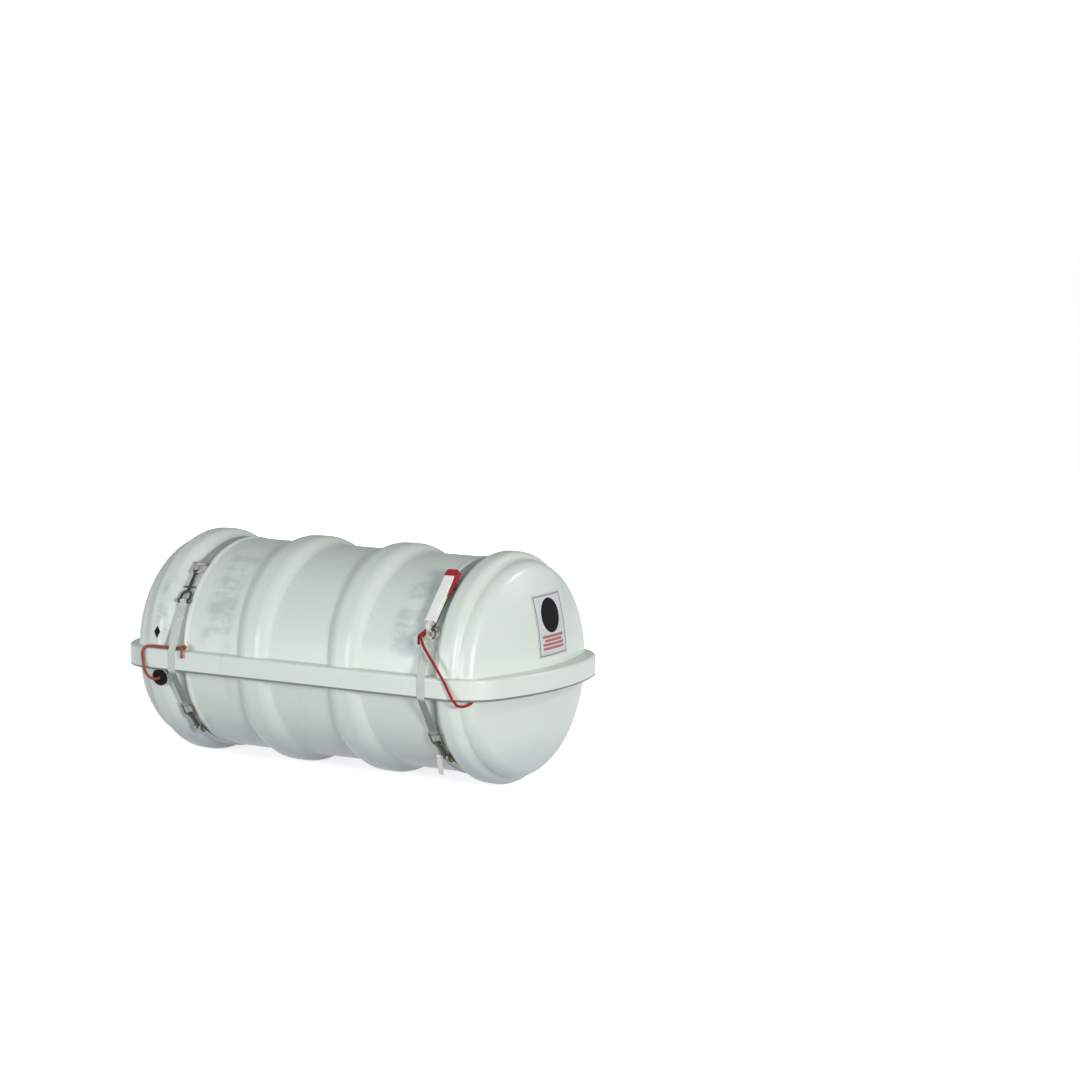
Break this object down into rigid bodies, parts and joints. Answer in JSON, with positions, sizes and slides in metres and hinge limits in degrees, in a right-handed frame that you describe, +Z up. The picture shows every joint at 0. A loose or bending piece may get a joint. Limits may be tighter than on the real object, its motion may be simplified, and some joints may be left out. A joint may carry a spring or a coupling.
{
  "type": "liferaft canister",
  "caption": "Ribbed two-part drum-shaped liferaft canister lying on its rib feet, with strapping bands, a slip hook with lever, a release fork, a painter line and an end label.",
  "frame": {"origin": "on the ground under the middle of the drum", "axes": "+X along the drum towards the labelled end, -Y towards the side with the band fittings, +Z up"},
  "size_m": [1.4256, 0.7263, 0.6795],
  "materials": {
    "white_paint": "painted white, chipped",
    "gelcoat": "glass-fibre gelcoat, lightly weathered",
    "black_rubber": "matt",
    "band_steel": "dull, weathered",
    "grey_webbing": "woven polyester",
    "dark_steel": "darkened",
    "pin_steel": "dull",
    "old_brass": "tarnished",
    "lever_white": "painted white",
    "red_grip": "dipped",
    "white_webbing": "woven polyester",
    "red_cord": "braided",
    "label_plate": "printed film",
    "raft_fabric": "coated",
    "lashing_web": "woven",
    "cylinder_paint": "painted",
    "head_brass": "machined",
    "bag_fabric": "coated",
    "coiled_rope": "laid rope"
  },
  "bodies": {
    "canister": {"upper_shell": "gelcoat", "lower_shell": "gelcoat", "rim_gasket": "black_rubber", "painter_bung": "black_rubber", "main_band_left": "band_steel", "main_band_right": "band_steel", "rim_strap_left": "grey_webbing", "rim_strap_right": "grey_webbing", "yoke": "dark_steel", "slip_body": "dark_steel", "lower_hook_left": "dark_steel", "lower_hook_right": "dark_steel", "yoke_pin": "pin_steel", "fork_crosspin": "pin_steel", "band_pin": "pin_steel", "slip_hinge_pin": "pin_steel", "hook_pin_left": "pin_steel", "hook_pin_right": "pin_steel", "lanyard_post": "pin_steel", "slip_ring": "old_brass", "lower_buckle_left": "old_brass", "lower_buckle_right": "old_brass", "hook_clip_left": "old_brass", "hook_clip_right": "old_brass", "band_tail": "white_webbing", "painter_line": "red_cord", "painter_knot": "red_cord", "lanyard": "red_cord", "lanyard_knot": "red_cord", "end_label": "label_plate", "raft_bundle": "raft_fabric", "lashing_left": "lashing_web", "lashing_right": "lashing_web", "gas_cylinder": "cylinder_paint", "operating_head": "head_brass", "equipment_bag": "bag_fabric", "painter_coil": "coiled_rope", "firing_line": "coiled_rope"},
    "slip_lever": {"slip_tongue": "white_paint", "lever_cover": "lever_white", "lever_grip": "red_grip"},
    "release_fork": {"release_fork": "dark_steel"},
    "pull_ring": {"pull_ring": "pin_steel"}
  },
  "joints": [
    {"name": "slip_lever_swing", "type": "hinge", "parent": "canister", "child": "slip_lever", "pos_m": [0.46, -0.29849, 0.49059], "axis": [1, 0, 0], "range_deg": [0, 100]},
    {"name": "release_fork_swing", "type": "hinge", "parent": "canister", "child": "release_fork", "pos_m": [-0.44, -0.23, 0.57441], "axis": [-1, 0, 0], "range_deg": [0, 60]},
    {"name": "pull_ring_swing", "type": "hinge", "parent": "canister", "child": "pull_ring", "pos_m": [0.4845, -0.29849, 0.49059], "axis": [0, -0.7547, 0.6561], "range_deg": [0, 60]}
  ]
}
